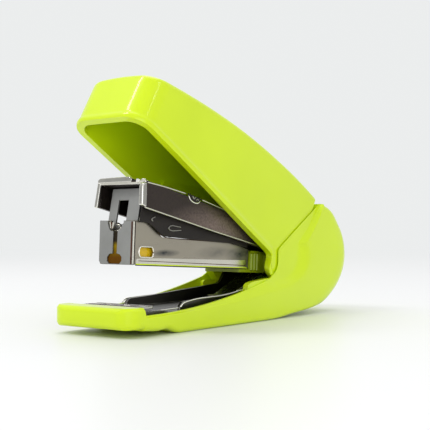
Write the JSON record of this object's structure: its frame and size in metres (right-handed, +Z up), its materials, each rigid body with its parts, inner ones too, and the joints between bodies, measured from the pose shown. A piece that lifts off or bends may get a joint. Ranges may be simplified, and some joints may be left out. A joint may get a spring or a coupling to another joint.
{
  "type": "stapler",
  "caption": "Small light-effort desk stapler with a hollow lime handle, folded steel magazine, windowed driver blade and hollow rear hump.",
  "frame": {"origin": "on the table, under the middle of the base's length and width", "axes": "+X from the staple exit to the hinges at the back, +Z up, Y across; Y = 0 is the plane of symmetry"},
  "size_m": [0.0948, 0.0234, 0.0567],
  "materials": {
    "lime_plastic": "smooth glossy moulded lime plastic",
    "yellow_plastic": "smooth yellow moulded plastic",
    "nickel_steel": "nickel-plated sheet, satin with fine rolling lines",
    "satin_steel": "dull plated sheet steel, grainy and darker",
    "spring_steel": "tempered spring steel"
  },
  "bodies": {
    "base": {"base_shell": "lime_plastic", "base_frame": "satin_steel", "anvil_plate": "nickel_steel", "lift_spring": "spring_steel", "lift_rivet": "nickel_steel", "main_pin": "nickel_steel", "handle_stub_near": "nickel_steel", "handle_stub_far": "nickel_steel"},
    "magazine": {"magazine_channel": "nickel_steel", "staple_rail": "nickel_steel", "magazine_carriage": "lime_plastic", "pusher_rod": "spring_steel", "pusher_spring": "spring_steel"},
    "follower": {"pusher": "yellow_plastic"},
    "arm": {"driver_arm": "satin_steel", "driver_blade": "satin_steel", "blade_rivet": "nickel_steel", "return_spring": "spring_steel"},
    "handle": {"handle_shell": "lime_plastic", "handle_lever": "lime_plastic", "press_pin": "nickel_steel"}
  },
  "joints": [
    {"name": "handle_hinge", "type": "hinge", "parent": "base", "child": "handle", "pos_m": [0.0206, 0, 0.017], "axis": [0, -1, 0], "range_deg": [0, 28], "stiffness_Nm_per_rad": 0.05, "springref_deg": -20.05},
    {"name": "magazine_hinge", "type": "hinge", "parent": "base", "child": "magazine", "pos_m": [0.0306, 0, 0.0135], "axis": [0, -1, 0], "range_deg": [0, 7.1], "stiffness_Nm_per_rad": 0.1, "springref_deg": -11.46, "deforming": ["lift_spring"]},
    {"name": "arm_hinge", "type": "hinge", "parent": "base", "child": "arm", "pos_m": [0.0306, 0, 0.0135], "axis": [0, -1, 0], "range_deg": [0, 13.35], "stiffness_Nm_per_rad": 0.05, "springref_deg": -17.19, "deforming": ["return_spring"]},
    {"name": "pusher_slide", "type": "slide", "parent": "magazine", "child": "follower", "axis": [0.9988, 0, -0.0498], "range_m": [0, 0.02], "stiffness_N_per_m": 20, "springref_m": -0.01, "deforming": ["pusher_spring"]}
  ],
  "couplings": [
    {"joint": "arm_hinge", "follows": "handle_hinge", "ratio": 0.475},
    {"joint": "magazine_hinge", "follows": "handle_hinge", "ratio": 0.2525}
  ]
}
